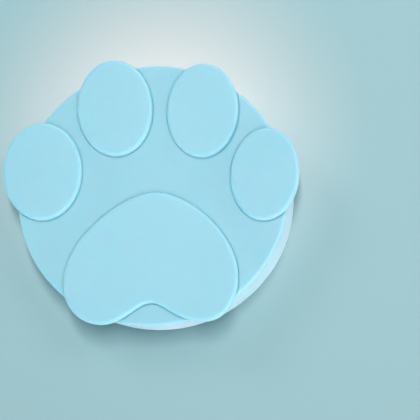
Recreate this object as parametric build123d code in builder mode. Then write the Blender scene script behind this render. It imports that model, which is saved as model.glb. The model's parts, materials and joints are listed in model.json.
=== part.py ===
from build123d import *
import os

# A paw-shaped silicone lid that snaps over opened pet-food cans of three sizes.
# The frame: Z is the can's axis, Z = 0 is the open rim that the lid stands on, and the paw faces +Z
# with its toes towards +Y. All sizes are in millimetres.

# ---- driving dimensions ----
face_half_width = 46.8  # the oval body, along X, at the face
face_half_height = 44.8  # and along Y
face_z = 18.0  # the flat face that the paw stands on
wall_draft = 0.45  # how much each half-size shrinks from the face down to the open rim
face_edge_round = 1.2
rim_round = 0.4
ceiling_z = 15.8  # the underside of the face plate, where a can's top edge stops

pad_rise = 2.2  # how far the paw's pads stand up from the face
pad_edge_round = 1.2
pad_foot_round = 0.25
recess_depth = 0.3  # each pad is seated in a shallow recess of its own outline
recess_gap = 0.3  # the hairline gap round a seated pad

# Each gripping ring: a lead-in chamfer at its mouth, a straight land that grips the can, and a wider
# relief above it that takes the can's rolled edge.
lead_in = 0.5
relief = 0.6
large_can_radius = 41.75
medium_can_radius = 36.5
small_can_radius = 32.5
large_land_top = 4.8
medium_mouth_z = 5.2
medium_land_top = 9.3
medium_ring_wall = 2.1
small_mouth_z = 9.6
small_land_top = 12.6
small_ring_wall = 1.9
seal_bead_radius = 0.5  # half-round beads on the ceiling, one over each can's top edge
seal_bead_rings = (40.4, 35.7, 31.2)

# Toe pads: centre X, centre Y, half width, half height, lean in degrees anticlockwise.
toes = {
    "left_outer_toe": (-38.3, 6.4, 13.9, 16.9, 7.7),
    "left_inner_toe": (-14.5, 29.2, 13.1, 16.8, 10.5),
    "right_inner_toe": (16.0, 29.2, 12.3, 16.2, 3.0),
    "right_outer_toe": (38.6, 8.1, 11.6, 15.7, 0.0),
}

# The palm pad's outline, clockwise from its crown: the right lobe, the notch, then the left lobe.
palm_outline = [
    (3.0, 0.6),
    (12.3, -2.0),
    (20.2, -7.2),
    (27.2, -14.7),
    (31.0, -22.6),
    (31.7, -29.4),
    (30.2, -35.6),
    (25.1, -41.2),
    (17.6, -42.1),
    (10.3, -39.8),
    (2.8, -36.8),
    (-4.2, -40.6),
    (-11.3, -44.6),
    (-19.4, -44.1),
    (-25.2, -39.6),
    (-27.7, -33.9),
    (-27.4, -26.2),
    (-23.9, -17.6),
    (-17.7, -10.0),
    (-9.3, -3.3),
]

# ---- derived heights ----
recess_floor_z = face_z - recess_depth
pad_thickness = recess_depth + pad_rise

os.makedirs("parts", exist_ok=True)


def body_radii(z):
    """The oval body's half-sizes at a height: full size at the face, drafted towards the rim."""
    shrink = wall_draft * (1 - z / face_z)
    return face_half_width - shrink, face_half_height - shrink


def oval_slab(low_z, high_z):
    """A slice of the drafted oval body, as a solid."""
    with BuildPart() as slab:
        for z in (low_z, high_z):
            with BuildSketch(Plane.XY.offset(z)):
                Ellipse(*body_radii(z))
        loft(ruled=True)
    return slab.part


def bore_cutter(radius, mouth_z, land_top_z):
    """The hollow of a gripping bore: chamfer, land and relief, up to the ceiling."""
    with BuildPart() as cutter:
        with BuildSketch(Plane.XZ):
            with BuildLine():
                Polyline(
                    (0, mouth_z),
                    (radius + lead_in, mouth_z),
                    (radius, mouth_z + lead_in),
                    (radius, land_top_z),
                    (radius + relief, land_top_z + relief),
                    (radius + relief, ceiling_z),
                    (0, ceiling_z),
                    close=True,
                )
            make_face()
        revolve(axis=Axis.Z)
    return cutter.part


def grip_ring(radius, wall, mouth_z, land_top_z):
    """A ring wall under the face plate that grips one of the smaller cans."""
    hollow = bore_cutter(radius, mouth_z, land_top_z)
    with BuildPart() as ring:
        with BuildSketch(Plane.XY.offset(mouth_z)):
            Circle(radius + wall)
        extrude(amount=ceiling_z - mouth_z)
        fillet(ring.edges().group_by(Axis.Z)[0], rim_round)
        add(hollow, mode=Mode.SUBTRACT)
    return ring.part


def toe_outline(centre_x, centre_y, half_width, half_height, lean, gap=0.0):
    """One toe's ellipse at the recess floor, grown by a gap for its recess."""
    with BuildSketch(Plane.XY.offset(recess_floor_z)) as outline:
        with Locations((centre_x, centre_y)):
            Ellipse(half_width + gap, half_height + gap, rotation=lean)
    return outline.sketch


def moved_outwards(points, gap):
    """Points of a clockwise outline, each moved out square to the line between its two neighbours."""
    moved = []
    for before, point, after in zip(points[-1:] + points[:-1], points, points[1:] + points[:1]):
        along = (Vector(*after) - Vector(*before)).normalized()
        moved.append(Vector(*point) + Vector(-along.Y, along.X) * gap)
    return moved


def palm_pad_outline(gap=0.0):
    """The palm pad's rounded outline at the recess floor, grown by a gap for its recess."""
    with BuildSketch(Plane.XY.offset(recess_floor_z)) as outline:
        with BuildLine():
            Spline(*moved_outwards(palm_outline, gap), periodic=True)
        make_face()
    return outline.sketch


def pad(outline):
    """A flat pad that fills its recess and stands proud of the face, its top edge well rounded."""
    with BuildPart() as raised:
        extrude(outline, amount=pad_thickness)
        fillet(raised.edges().group_by(Axis.Z)[-1], pad_edge_round)
        fillet(raised.edges().group_by(Axis.Z)[0], pad_foot_round)
    return raised.part


# ---- the face plate, with a recess for each pad and the seal beads under it ----
plate_blank = oval_slab(ceiling_z, face_z)
recesses = [toe_outline(*toe, gap=recess_gap) for toe in toes.values()]
recesses.append(palm_pad_outline(gap=recess_gap))

with BuildPart() as cap_disc:
    add(plate_blank)
    fillet(cap_disc.edges().group_by(Axis.Z)[-1], face_edge_round)
    with BuildSketch(Plane.XZ):
        for ring_radius in seal_bead_rings:
            with Locations((ring_radius, ceiling_z)):
                Circle(seal_bead_radius)
    revolve(axis=Axis.Z)
    for recess in recesses:
        extrude(recess, amount=recess_depth, mode=Mode.SUBTRACT)
cap_disc.part.label = "cap_disc"
export_step(cap_disc.part, "parts/cap_disc.step")

# ---- the outer wall, which the lid stands on and which grips the large can ----
wall_blank = oval_slab(0, ceiling_z)
large_can_hollow = bore_cutter(large_can_radius, 0, large_land_top)

with BuildPart() as skirt:
    add(wall_blank)
    fillet(skirt.edges().group_by(Axis.Z)[0], rim_round)
    add(large_can_hollow, mode=Mode.SUBTRACT)
skirt.part.label = "skirt"
export_step(skirt.part, "parts/skirt.step")

# ---- the two inner rings, for medium and small cans ----
middle_ring = grip_ring(medium_can_radius, medium_ring_wall, medium_mouth_z, medium_land_top)
middle_ring.label = "middle_ring"
export_step(middle_ring, "parts/middle_ring.step")

inner_ring = grip_ring(small_can_radius, small_ring_wall, small_mouth_z, small_land_top)
inner_ring.label = "inner_ring"
export_step(inner_ring, "parts/inner_ring.step")

# ---- the paw: one palm pad and four toes, whose outer ends overhang the body as lifting tabs ----
palm_pad = pad(palm_pad_outline())
palm_pad.label = "palm_pad"
export_step(palm_pad, "parts/palm_pad.step")

for toe_name, toe in toes.items():
    toe_pad = pad(toe_outline(*toe))
    toe_pad.label = toe_name
    export_step(toe_pad, f"parts/{toe_name}.step")
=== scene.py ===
"""The visual model of a paw-shaped silicone can lid. Each moulded region is rebuilt as a fine mesh in
the place of its CAD node, in a satin silicone, on a plain pale sweep under soft studio light."""

import json
import math

import bpy
import numpy as np
from mathutils import Matrix, Vector


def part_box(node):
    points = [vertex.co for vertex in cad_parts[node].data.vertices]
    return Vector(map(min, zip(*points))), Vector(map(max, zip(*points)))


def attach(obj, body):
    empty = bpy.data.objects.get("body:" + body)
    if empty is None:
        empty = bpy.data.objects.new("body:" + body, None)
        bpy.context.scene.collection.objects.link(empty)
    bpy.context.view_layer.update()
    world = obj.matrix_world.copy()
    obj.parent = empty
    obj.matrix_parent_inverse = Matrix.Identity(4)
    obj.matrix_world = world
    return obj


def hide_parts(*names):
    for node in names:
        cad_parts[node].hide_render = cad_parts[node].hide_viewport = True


MM = 0.001
AROUND = 320  # points round each oval or circular loop
PAD_POINTS = 260  # points round each pad's outline
ARC_STEPS = 6  # straight steps in a rounded corner
BEND_STEPS = 24  # straight steps in the sweep's bend
FACE_LOOPS = np.linspace(0.9, 0.05, 10)  # loops across the face, as shares of the way out
PAD_TOP_LOOPS = np.linspace(0.92, 0.08, 11)  # loops across a pad's crowned top
TOP_LEDGE = 1.6  # how far in an upper edge's first flat loop lies, in radii of that edge
RIM_LEDGE = 1.3  # the same for the rims below
SAME_HEIGHT = 0.02 * MM  # heights closer than this count as one

# ---- the frame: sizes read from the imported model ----
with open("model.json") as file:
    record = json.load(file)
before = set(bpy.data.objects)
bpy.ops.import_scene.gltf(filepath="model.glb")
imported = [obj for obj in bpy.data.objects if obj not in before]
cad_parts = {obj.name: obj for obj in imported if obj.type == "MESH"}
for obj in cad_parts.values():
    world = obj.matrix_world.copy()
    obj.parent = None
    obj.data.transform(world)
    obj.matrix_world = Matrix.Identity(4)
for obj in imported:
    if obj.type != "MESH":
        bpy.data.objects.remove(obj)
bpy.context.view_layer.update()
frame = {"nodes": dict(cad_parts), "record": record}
mounts = {mount["name"]: mount for mount in frame["record"]["mounts"]}
plate_low, plate_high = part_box("cap_disc")
skirt_low, skirt_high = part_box("skirt")
FACE_Z = plate_high.z
RIM_Z = skirt_low.z
CEILING_Z = skirt_high.z
FACE_RADII = np.array([(plate_high.x - plate_low.x) / 2, (plate_high.y - plate_low.y) / 2])
TOES = ("left_outer_toe", "left_inner_toe", "right_inner_toe", "right_outer_toe")
PADS = TOES + ("palm_pad",)

# ---- details that the frame doesn't give: the CAD part's values, then the looks only ----
WALL_DRAFT = 0.45 * MM
FACE_EDGE_ROUND = 1.2 * MM
RIM_ROUND = 0.4 * MM
PAD_EDGE_ROUND = 1.2 * MM
PAD_FOOT_ROUND = 0.25 * MM
RECESS_GAP = 0.30 * MM
LEAD_IN = 0.5 * MM
RELIEF = 0.6 * MM
RING_WALLS = {"middle_ring": 2.1 * MM, "inner_ring": 1.9 * MM}
SEAL_BEAD_RADIUS = 0.5 * MM
SEAL_BEAD_RINGS = (31.2 * MM, 35.7 * MM, 40.4 * MM)

PAD_CROWN = 0.12 * MM  # how far a pad's top swells above its edge
SOFT_CORNER = 0.15 * MM  # the round on the bores' corners
CENTRE_LOOP = 0.6 * MM  # the innermost loop under the plate
CREASE_FADE = 0.03  # how near the body's edge the painted crease light fades out, as a share of its radius


# ---- mesh helpers ----
def rounded(corners):
    """A polyline through (across, up, radius) corners, each corner with a radius turned into an arc."""
    points = []
    for index, (across, up, radius) in enumerate(corners):
        here = Vector((across, up))
        if radius == 0 or index in (0, len(corners) - 1):
            points.append(here)
            continue
        back = (Vector(corners[index - 1][:2]) - here).normalized()
        ahead = (Vector(corners[index + 1][:2]) - here).normalized()
        half_angle = back.angle(ahead) / 2
        reach = radius / math.tan(half_angle)
        start, end = here + back * reach, here + ahead * reach
        centre = here + (back + ahead).normalized() * (radius / math.sin(half_angle))
        for step in range(ARC_STEPS + 1):
            chord = start.lerp(end, step / ARC_STEPS)
            points.append(centre + (chord - centre).normalized() * radius)
    return points


def body_radii(z):
    """The oval body's half-sizes at a height: full at the face, drafted towards the rim."""
    return FACE_RADII - WALL_DRAFT * (FACE_Z - z) / (FACE_Z - RIM_Z)


TURN = np.linspace(0, 2 * math.pi, AROUND, endpoint=False)


def oval_loop(inset, z, scale=1.0):
    """A loop on the oval body, moved in from its wall by an inset and then scaled about the axis."""
    half_x, half_y = (body_radii(z) - inset) * scale
    return np.column_stack([half_x * np.cos(TURN), half_y * np.sin(TURN), np.full(AROUND, z)])


def round_loop(radius, z):
    """A circular loop round the can's axis."""
    return np.column_stack([radius * np.cos(TURN), radius * np.sin(TURN), np.full(AROUND, z)])


def skinned(name, loops, closed=False, top_cap=True):
    """A mesh object skinned over loops of equal length. An open skin has a fan over its first loop,
    and one over its last unless top_cap is off."""
    count = len(loops[0])
    vertices = [tuple(point) for loop in loops for point in loop]
    pairs = list(zip(range(len(loops)), range(1, len(loops))))
    if closed:
        pairs.append((len(loops) - 1, 0))
    faces = []
    for low, high in pairs:
        for i in range(count):
            j = (i + 1) % count
            faces.append((low * count + i, low * count + j, high * count + j, high * count + i))
    caps = []  # which loops get a fan, and whether it is wound backwards
    if not closed:
        caps.append((0, True))
    if not closed and top_cap:
        caps.append((len(loops) - 1, False))
    for loop_number, backwards in caps:
        centre = len(vertices)
        vertices.append(tuple(np.mean(loops[loop_number], axis=0)))
        for i in range(count):
            a, b = loop_number * count + i, loop_number * count + (i + 1) % count
            faces.append((b, a, centre) if backwards else (a, b, centre))
    mesh = bpy.data.meshes.new(name)
    mesh.from_pydata(vertices, [], faces)
    mesh.update()
    obj = bpy.data.objects.new(name, mesh)
    bpy.context.scene.collection.objects.link(obj)
    return obj


def smooth(obj, sharp_above=40):
    """Smooth shading that keeps edges above an angle in degrees crisp."""
    mesh = obj.data
    mesh.polygons.foreach_set("use_smooth", [True] * len(mesh.polygons))
    mesh.set_sharp_from_angle(angle=math.radians(sharp_above))
    return obj


def points_of(obj):
    """An object's mesh points as rows."""
    return np.array([tuple(vertex.co) for vertex in obj.data.vertices])


# ---- the pads' outlines, read from the CAD walls ----
def outline_of(node):
    """A pad's outline from its CAD wall: points evenly spaced anticlockwise, and their outward normals."""
    low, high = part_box(node)
    cad_points = points_of(frame["nodes"][node])
    wall_top = high.z - PAD_EDGE_ROUND
    wall = cad_points[np.abs(cad_points[:, 2] - wall_top) < SAME_HEIGHT][:, :2]
    centre = np.array([(low.x + high.x) / 2, (low.y + high.y) / 2])
    bearing = np.arctan2(wall[:, 1] - centre[1], wall[:, 0] - centre[0])
    bearing, first = np.unique(np.round(bearing, 5), return_index=True)
    ring = wall[first]
    ring = np.vstack([ring, ring[:1]])
    along = np.concatenate([[0], np.cumsum(np.linalg.norm(np.diff(ring, axis=0), axis=1))])
    wanted = np.linspace(0, along[-1], PAD_POINTS, endpoint=False)
    points = np.column_stack([np.interp(wanted, along, ring[:, k]) for k in (0, 1)])
    for _ in range(3):  # takes out the CAD mesh's facets
        points = (np.roll(points, 1, 0) + 2 * points + np.roll(points, -1, 0)) / 4
    tangent = np.roll(points, -1, 0) - np.roll(points, 1, 0)
    tangent /= np.linalg.norm(tangent, axis=1)[:, None]
    return points, np.column_stack([tangent[:, 1], -tangent[:, 0]])


def pad_loop(outline, inset, z):
    """A loop on a pad's outline, moved in from its wall by an inset."""
    points, normals = outline
    return np.column_stack([points - normals * inset, np.full(len(points), z)])


def mark_crease(obj, share):
    """Stores how deep each point sits in the crease round a pad: 1 at the recess floor, 0 in the open. The
    silicone uses it to paint light into the creases.
    """
    obj.data.attributes.new("crease", "FLOAT", "POINT").data.foreach_set("value", share.astype(np.float32))


# ---- the pieces ----
def make_pad(node):
    """A pad: rounded foot, upright wall, generous top edge and a faintly crowned top."""
    low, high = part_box(node)
    outline = outline_of(node)
    edge_z = high.z - PAD_CROWN
    profile = rounded([
        (2 * PAD_FOOT_ROUND, low.z, 0),
        (0, low.z, PAD_FOOT_ROUND),
        (0, edge_z, PAD_EDGE_ROUND),
        (TOP_LEDGE * PAD_EDGE_ROUND, edge_z, 0),
    ])
    loops = [pad_loop(outline, inset, z) for inset, z in profile]
    top = loops[-1]
    middle = np.array([*top[:, :2].mean(axis=0), 0])
    for share in PAD_TOP_LOOPS:
        loop = middle + (top - middle) * share
        loop[:, 2] = edge_z + PAD_CROWN * (1 - share**2)
        loops.append(loop)
    pad = skinned(f"{node}_moulding", loops)
    points = points_of(pad)
    wall_top = edge_z - PAD_EDGE_ROUND
    depth = np.clip((wall_top - points[:, 2]) / (wall_top - low.z), 0, 1)
    off_axis = np.hypot(points[:, 0] / FACE_RADII[0], points[:, 1] / FACE_RADII[1])
    # the crease share drives the painted crease light, and fades out towards the body's edge
    mark_crease(pad, depth * np.clip((1 - off_axis) / CREASE_FADE, 0, 1))
    return smooth(pad)


def make_cap_disc():
    """The oval face plate: seal beads below, a rounded edge, and a recess cut for each pad."""
    under = [(CENTRE_LOOP, CEILING_Z)]
    for ring in SEAL_BEAD_RINGS:
        for angle in np.linspace(0, math.pi, 2 * ARC_STEPS + 1):
            across, down = SEAL_BEAD_RADIUS * math.cos(angle), SEAL_BEAD_RADIUS * math.sin(angle)
            under.append((ring - across, CEILING_Z - down))
    loops = [round_loop(radius, z) for radius, z in under]
    edge = rounded([
        (SOFT_CORNER, CEILING_Z, 0),
        (0, CEILING_Z, 0),
        (0, FACE_Z, FACE_EDGE_ROUND),
        (TOP_LEDGE * FACE_EDGE_ROUND, FACE_Z, 0),
    ])
    loops += [oval_loop(inset, z) for inset, z in edge]
    loops += [oval_loop(TOP_LEDGE * FACE_EDGE_ROUND, FACE_Z, share) for share in FACE_LOOPS]
    plate = skinned("cap_disc_moulding", loops)
    for node in PADS:
        outline = outline_of(node)
        floor_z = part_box(node)[0].z
        walls = [pad_loop(outline, -RECESS_GAP, z) for z in (floor_z, FACE_Z + MM)]
        cutter = skinned("recess_cutter", walls)
        cut = plate.modifiers.new("recess", "BOOLEAN")
        cut.operation, cut.solver, cut.object = "DIFFERENCE", "EXACT", cutter
        bpy.context.view_layer.objects.active = plate
        bpy.ops.object.modifier_apply(modifier=cut.name)
        bpy.data.objects.remove(cutter)
    above_floor = points_of(plate)[:, 2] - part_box("palm_pad")[0].z
    # the recess floor gets the full painted crease light
    mark_crease(plate, np.abs(above_floor) < SAME_HEIGHT)
    return smooth(plate, sharp_above=30)


def bore_profile(mount, mouth_z):
    """The gripping bore as rounded (radius, height) points from the ceiling down to the mouth."""
    radius = mount["dims"]["r_mm"] * MM
    land_top = mouth_z + LEAD_IN + mount["dims"]["length_mm"] * MM
    return rounded([
        (radius + RELIEF, CEILING_Z, 0),
        (radius + RELIEF, land_top + RELIEF, SOFT_CORNER),
        (radius, land_top, SOFT_CORNER),
        (radius, mouth_z + LEAD_IN, SOFT_CORNER),
        (radius + LEAD_IN, mouth_z, SOFT_CORNER),
        (radius + 2 * LEAD_IN, mouth_z, 0),
    ])


def make_skirt():
    """The outer wall: drafted oval outside, gripping bore inside, rounded standing rim."""
    bore = bore_profile(mounts["large_can_seat"], RIM_Z)
    outside = rounded([(RIM_LEDGE * RIM_ROUND, RIM_Z, 0), (0, RIM_Z, RIM_ROUND), (0, CEILING_Z, 0)])
    loops = [round_loop(radius, z) for radius, z in bore]
    loops += [oval_loop(inset, z) for inset, z in outside]
    return smooth(skinned("skirt_moulding", loops, closed=True))


def make_ring(node, mount_name):
    """An inner gripping ring, hanging from the ceiling."""
    mouth_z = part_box(node)[0].z
    mount = mounts[mount_name]
    outer = mount["dims"]["r_mm"] * MM + RING_WALLS[node]
    bore = bore_profile(mount, mouth_z)
    outside = rounded([
        (outer - RIM_LEDGE * RIM_ROUND, mouth_z, 0),
        (outer, mouth_z, RIM_ROUND),
        (outer, CEILING_Z, 0),
    ])
    loops = [round_loop(radius, z) for radius, z in bore[:-1] + outside]
    return smooth(skinned(f"{node}_moulding", loops, closed=True))


# ---- materials ----
NOISE_MIDDLE = (0.3, 0.7)  # where nearly all of a noise texture's values lie
SILICONE_SHADES = ((0.336, 0.668, 0.784, 1), (0.351, 0.684, 0.798, 1))  # its colour drifts between them
PAINTED_CREASE_LIGHT = (0.33, 0.82, 1.0, 1)  # painted crease light: a lighter, clearer blue in the creases stands in for light scattered in the silicone


def node_material(name):
    """An empty node material with its shader and object coordinates."""
    material = bpy.data.materials.new(name)
    material.use_nodes = True
    nodes, links = material.node_tree.nodes, material.node_tree.links
    return material, nodes, links, nodes["Principled BSDF"], nodes.new("ShaderNodeTexCoord")


def noise(nodes, links, coords, scale, detail, roughness=0.5):
    """The values of a noise texture; its scale is in waves to the metre."""
    texture = nodes.new("ShaderNodeTexNoise")
    texture.inputs["Scale"].default_value = scale
    texture.inputs["Detail"].default_value = detail
    texture.inputs["Roughness"].default_value = roughness
    links.new(coords.outputs["Object"], texture.inputs["Vector"])
    return texture.outputs["Fac"]


def mapped(nodes, links, source, before, after):
    """The values of a socket, moved from one range to another."""
    ramp = nodes.new("ShaderNodeMapRange")
    for socket, value in zip(("From Min", "From Max", "To Min", "To Max"), before + after):
        ramp.inputs[socket].default_value = value
    links.new(source, ramp.inputs["Value"])
    return ramp.outputs["Result"]


def bump(nodes, links, source, strength, distance):
    """A bump node driven by a texture's values."""
    node = nodes.new("ShaderNodeBump")
    node.inputs["Strength"].default_value = strength
    node.inputs["Distance"].default_value = distance
    links.new(source, node.inputs["Height"])
    return node


def silicone_material():
    """Pale sky-blue moulded silicone: satin, slightly translucent, with the mould's fine matte grain and
    light painted into the creases round the pads.
    """
    material, nodes, links, shader, coords = node_material("silicone")
    clouding = noise(nodes, links, coords, scale=38, detail=3)
    shade = nodes.new("ShaderNodeValToRGB")
    for element, place, colour in zip(shade.color_ramp.elements, NOISE_MIDDLE, SILICONE_SHADES):
        element.position, element.color = place, colour
    links.new(clouding, shade.inputs["Fac"])
    # painted crease light: the base colour turns to the lighter crease blue as a point sits deeper in the
    # crease
    crease = nodes.new("ShaderNodeAttribute")
    crease.attribute_name = "crease"
    tint = nodes.new("ShaderNodeMix")
    tint.data_type = "RGBA"
    links.new(crease.outputs["Fac"], tint.inputs["Factor"])
    links.new(shade.outputs["Color"], tint.inputs["A"])
    tint.inputs["B"].default_value = PAINTED_CREASE_LIGHT
    links.new(tint.outputs["Result"], shader.inputs["Base Color"])

    bloom = noise(nodes, links, coords, scale=140, detail=4, roughness=0.6)
    links.new(mapped(nodes, links, bloom, NOISE_MIDDLE, (0.42, 0.52)), shader.inputs["Roughness"])
    grain = noise(nodes, links, coords, scale=5200, detail=2)
    waves = noise(nodes, links, coords, scale=70, detail=2)
    fine = bump(nodes, links, grain, strength=0.25, distance=0.012 * MM)
    broad = bump(nodes, links, waves, strength=0.5, distance=0.05 * MM)
    links.new(fine.outputs["Normal"], broad.inputs["Normal"])
    links.new(broad.outputs["Normal"], shader.inputs["Normal"])

    shader.inputs["IOR"].default_value = 1.41
    shader.inputs["Subsurface Weight"].default_value = 0.8
    shader.inputs["Subsurface Radius"].default_value = (0.15, 0.7, 1.0)
    shader.inputs["Subsurface Scale"].default_value = 2.2 * MM
    height = nodes.new("ShaderNodeSeparateXYZ")  # the skirt looks more frosted than the face
    links.new(coords.outputs["Object"], height.inputs["Vector"])
    frosting = mapped(nodes, links, height.outputs["Z"], (CEILING_Z, FACE_Z), (0.5, 0.1))
    links.new(frosting, shader.inputs["Sheen Weight"])
    shader.inputs["Sheen Roughness"].default_value = 0.4
    return material


# ---- the stage ----
PAINTED_POOL_CENTRE = Vector((-0.0024, 0.0256, 0))  # a pool of light painted on the floor, behind the inner toes
PAINTED_POOL_RADIUS = 0.0782
PAINTED_POOL_WHITE = (0.841, 0.799, 0.784, 1)
BACKDROP_BLUE = (0.351, 0.568, 0.614, 1)
SWEEP_REACH = 2.4
SWEEP_BEND = 0.9
SWEEP_HEIGHT = 1.6


def backdrop_material():
    """Matt pale blue paper with a pool of white light painted on it at one place."""
    material, nodes, links, shader, coords = node_material("backdrop_paper_and_painted_light")
    away = nodes.new("ShaderNodeVectorMath")
    away.operation = "DISTANCE"
    away.inputs[1].default_value = PAINTED_POOL_CENTRE
    links.new(coords.outputs["Object"], away.inputs[0])
    share = nodes.new("ShaderNodeMath")
    share.operation = "DIVIDE"
    share.inputs[1].default_value = PAINTED_POOL_RADIUS
    links.new(away.outputs["Value"], share.inputs[0])
    # painted light: the paper's colour fades from white at the pool's middle to its own blue outside it
    fade = nodes.new("ShaderNodeValToRGB")
    fade.color_ramp.interpolation = "EASE"
    for element, colour in zip(fade.color_ramp.elements, (PAINTED_POOL_WHITE, BACKDROP_BLUE)):
        element.color = colour
    links.new(share.outputs["Value"], fade.inputs["Fac"])
    links.new(fade.outputs["Color"], shader.inputs["Base Color"])
    shader.inputs["Roughness"].default_value = 0.75
    return material


def make_sweep():
    """A plain pale floor that curves up into a wall all round."""
    flat_reach = SWEEP_REACH - SWEEP_BEND
    profile = [(reach, RIM_Z) for reach in (0.05, 0.2, 0.5, 1.0, flat_reach)]
    for step in range(1, BEND_STEPS + 1):
        angle = math.pi / 2 * step / BEND_STEPS
        across = flat_reach + SWEEP_BEND * math.sin(angle)
        profile.append((across, RIM_Z + SWEEP_BEND * (1 - math.cos(angle))))
    profile.append((SWEEP_REACH, RIM_Z + SWEEP_HEIGHT))
    loops = [round_loop(radius, z) for radius, z in profile]
    sweep = smooth(skinned("studio_sweep", loops, top_cap=False), sharp_above=60)
    sweep.data.materials.append(backdrop_material())
    return sweep


# ---- light ----
WARM_WHITE = (1.0, 0.97, 0.95)
COOL_WHITE = (0.88, 1.0, 1.06)
PLAIN_WHITE = (1, 1, 1)
EDGE_TINT = (1.0, 0.8, 0.82)  # nearer to white on the blue silicone, as the photo's bright edges are
WASH_TINT = (1.0, 0.93, 0.9)
WORLD_TINT = (0.93, 0.97, 1.0, 1)
WORLD_STRENGTH = 0.09

# Each soft box: bearing, elevation, distance, size, watts and tint.
LID_LIGHTS = {
    "overhead_softbox": (150, 79, 0.26, (0.1, 0.1), 0.225, WARM_WHITE),
    "key_softbox": (-15, 56, 0.8, (0.16, 0.16), 1.9, WARM_WHITE),
    "top_softbox": (95, 60, 0.8, (0.16, 0.16), 1.25, WARM_WHITE),
    "front_softbox": (-90, 45, 0.8, (0.2, 0.2), 1.2, COOL_WHITE),
}
FLOOR_LIGHTS = {  # a strip above casts the shadow, and two fills soften its sides
    "floor_strip": (13, 80, 1.0, (0.6, 0.08), 7.5, WARM_WHITE),
    "floor_right": (36, 50, 0.8, (0.4, 0.3), 0.9, PLAIN_WHITE),
    "floor_left": (138, 42, 0.8, (0.3, 0.3), 0.95, PLAIN_WHITE),
}
EDGE_LIGHTS = {  # low boxes that light only the skirt and the edges
    "edge_right": (5, 8, 0.8, (0.6, 0.20), 2.0, EDGE_TINT),
    "edge_lower_right": (-45, 3, 0.8, (0.6, 0.10), 2.4, EDGE_TINT),
    "edge_front": (-95, 3, 0.8, (0.6, 0.10), 2.2, EDGE_TINT),
    "edge_top": (85, 4, 0.8, (0.6, 0.12), 2.6, EDGE_TINT),
    "edge_left": (180, 4, 0.8, (0.6, 0.12), 1.4, EDGE_TINT),
}
WASH_BEARINGS = (0, 90, 180, 270)  # four boxes turned outwards light the wall of the sweep
WASH_LIGHT = (72, 0.95, (0.8, 0.5), 15, WASH_TINT)  # each one's elevation, distance, size, watts and tint
WASH_RISE = 0.5  # how far it aims up for each metre out


def grouped(name, objects):
    """A collection that lights can be limited to."""
    group = bpy.data.collections.new(name)
    for obj in objects:
        group.objects.link(obj)
    return group


def area_light(name, only, bearing, elevation, distance, size, watts, tint):
    """A soft box aimed at the lid that lights just the pieces of one collection. Bearing 0 is +X and
    90 is +Y; elevation is above the floor; both are in degrees, and lengths are in metres."""
    light = bpy.data.lights.new(name, "AREA")
    light.shape, light.size, light.size_y = "RECTANGLE", size[0], size[1]
    light.energy, light.color = watts, tint
    obj = bpy.data.objects.new(name, light)
    bpy.context.scene.collection.objects.link(obj)
    b, e = math.radians(bearing), math.radians(elevation)
    away = Vector((math.cos(b) * math.cos(e), math.sin(b) * math.cos(e), math.sin(e)))
    obj.location = Vector((0, 0, FACE_Z)) + away * distance
    obj.rotation_mode = "QUATERNION"
    obj.rotation_quaternion = away.to_track_quat("Z", "Y")
    obj.visible_camera = False
    obj.light_linking.receiver_collection = only
    return obj


def make_lights(lid, floor):
    """The lid and the floor have their own lights, so that the lid casts one soft shadow."""
    for name, values in LID_LIGHTS.items():
        area_light(name, lid, *values)
    for name, values in FLOOR_LIGHTS.items():
        area_light(name, floor, *values)
    for name, values in EDGE_LIGHTS.items():
        edge = area_light(name, lid, *values)
        edge.data.cycles.max_bounces = 0  # direct light only, so that it doesn't brighten the creases
    for bearing in WASH_BEARINGS:
        wash = area_light(f"wall_wash_{bearing}", floor, bearing, *WASH_LIGHT)
        angle = math.radians(bearing)
        outwards = Vector((math.cos(angle), math.sin(angle), WASH_RISE))
        wash.rotation_quaternion = (-outwards).to_track_quat("Z", "Y")
    world = bpy.data.worlds.new("studio_air")
    bpy.context.scene.world = world
    world.use_nodes = True
    background = world.node_tree.nodes["Background"]
    background.inputs["Color"].default_value = WORLD_TINT
    background.inputs["Strength"].default_value = WORLD_STRENGTH


# ---- camera ----
VIEW_BEARING = -39.8  # the side the camera stands on: to the right and a little below the paw
VIEW_ELEVATION = 76.2
VIEW_DISTANCE = 0.553
VIEW_ROLL = -3.7
AIM = Vector((0.0206, -0.0046, 0))  # the lid sits left of the picture's middle
FOCAL_LENGTH = 141.4  # in millimetres, as the sensor's width is
SENSOR_WIDTH = 36


def make_camera():
    """A long lens looking down on the paw from its lower right, with the toes at the top."""
    b, e = math.radians(VIEW_BEARING), math.radians(VIEW_ELEVATION)
    back = Vector((math.cos(b) * math.cos(e), math.sin(b) * math.cos(e), math.sin(e)))
    right = (-back).cross(Vector((0, 1, 0))).normalized()
    up = right.cross(-back)
    roll = math.radians(VIEW_ROLL)
    rolled_up = up * math.cos(roll) + right * math.sin(roll)
    rolled_right = right * math.cos(roll) - up * math.sin(roll)
    data = bpy.data.cameras.new("photo_camera")
    data.lens, data.sensor_width = FOCAL_LENGTH, SENSOR_WIDTH
    data.clip_start, data.clip_end = 0.01, 20
    camera = bpy.data.objects.new("photo_camera", data)
    bpy.context.scene.collection.objects.link(camera)
    turn = np.column_stack([rolled_right, rolled_up, back])
    stand = AIM + Vector((0, 0, FACE_Z)) + back * VIEW_DISTANCE
    camera.matrix_world = Matrix.Translation(stand) @ Matrix(turn.tolist()).to_4x4()
    bpy.context.scene.camera = camera


# ---- build ----
silicone = silicone_material()
pieces = {node: make_pad(node) for node in PADS}
pieces["cap_disc"] = make_cap_disc()
pieces["skirt"] = make_skirt()
pieces["middle_ring"] = make_ring("middle_ring", "medium_can_seat")
pieces["inner_ring"] = make_ring("inner_ring", "small_can_seat")
for node, piece in pieces.items():
    piece.data.materials.clear()
    piece.data.materials.append(silicone)
    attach(piece, "root")
    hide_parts(node)

sweep = make_sweep()
make_lights(grouped("lid_only", pieces.values()), grouped("floor_only", [sweep]))
make_camera()
bpy.context.scene.view_settings.view_transform = "Standard"
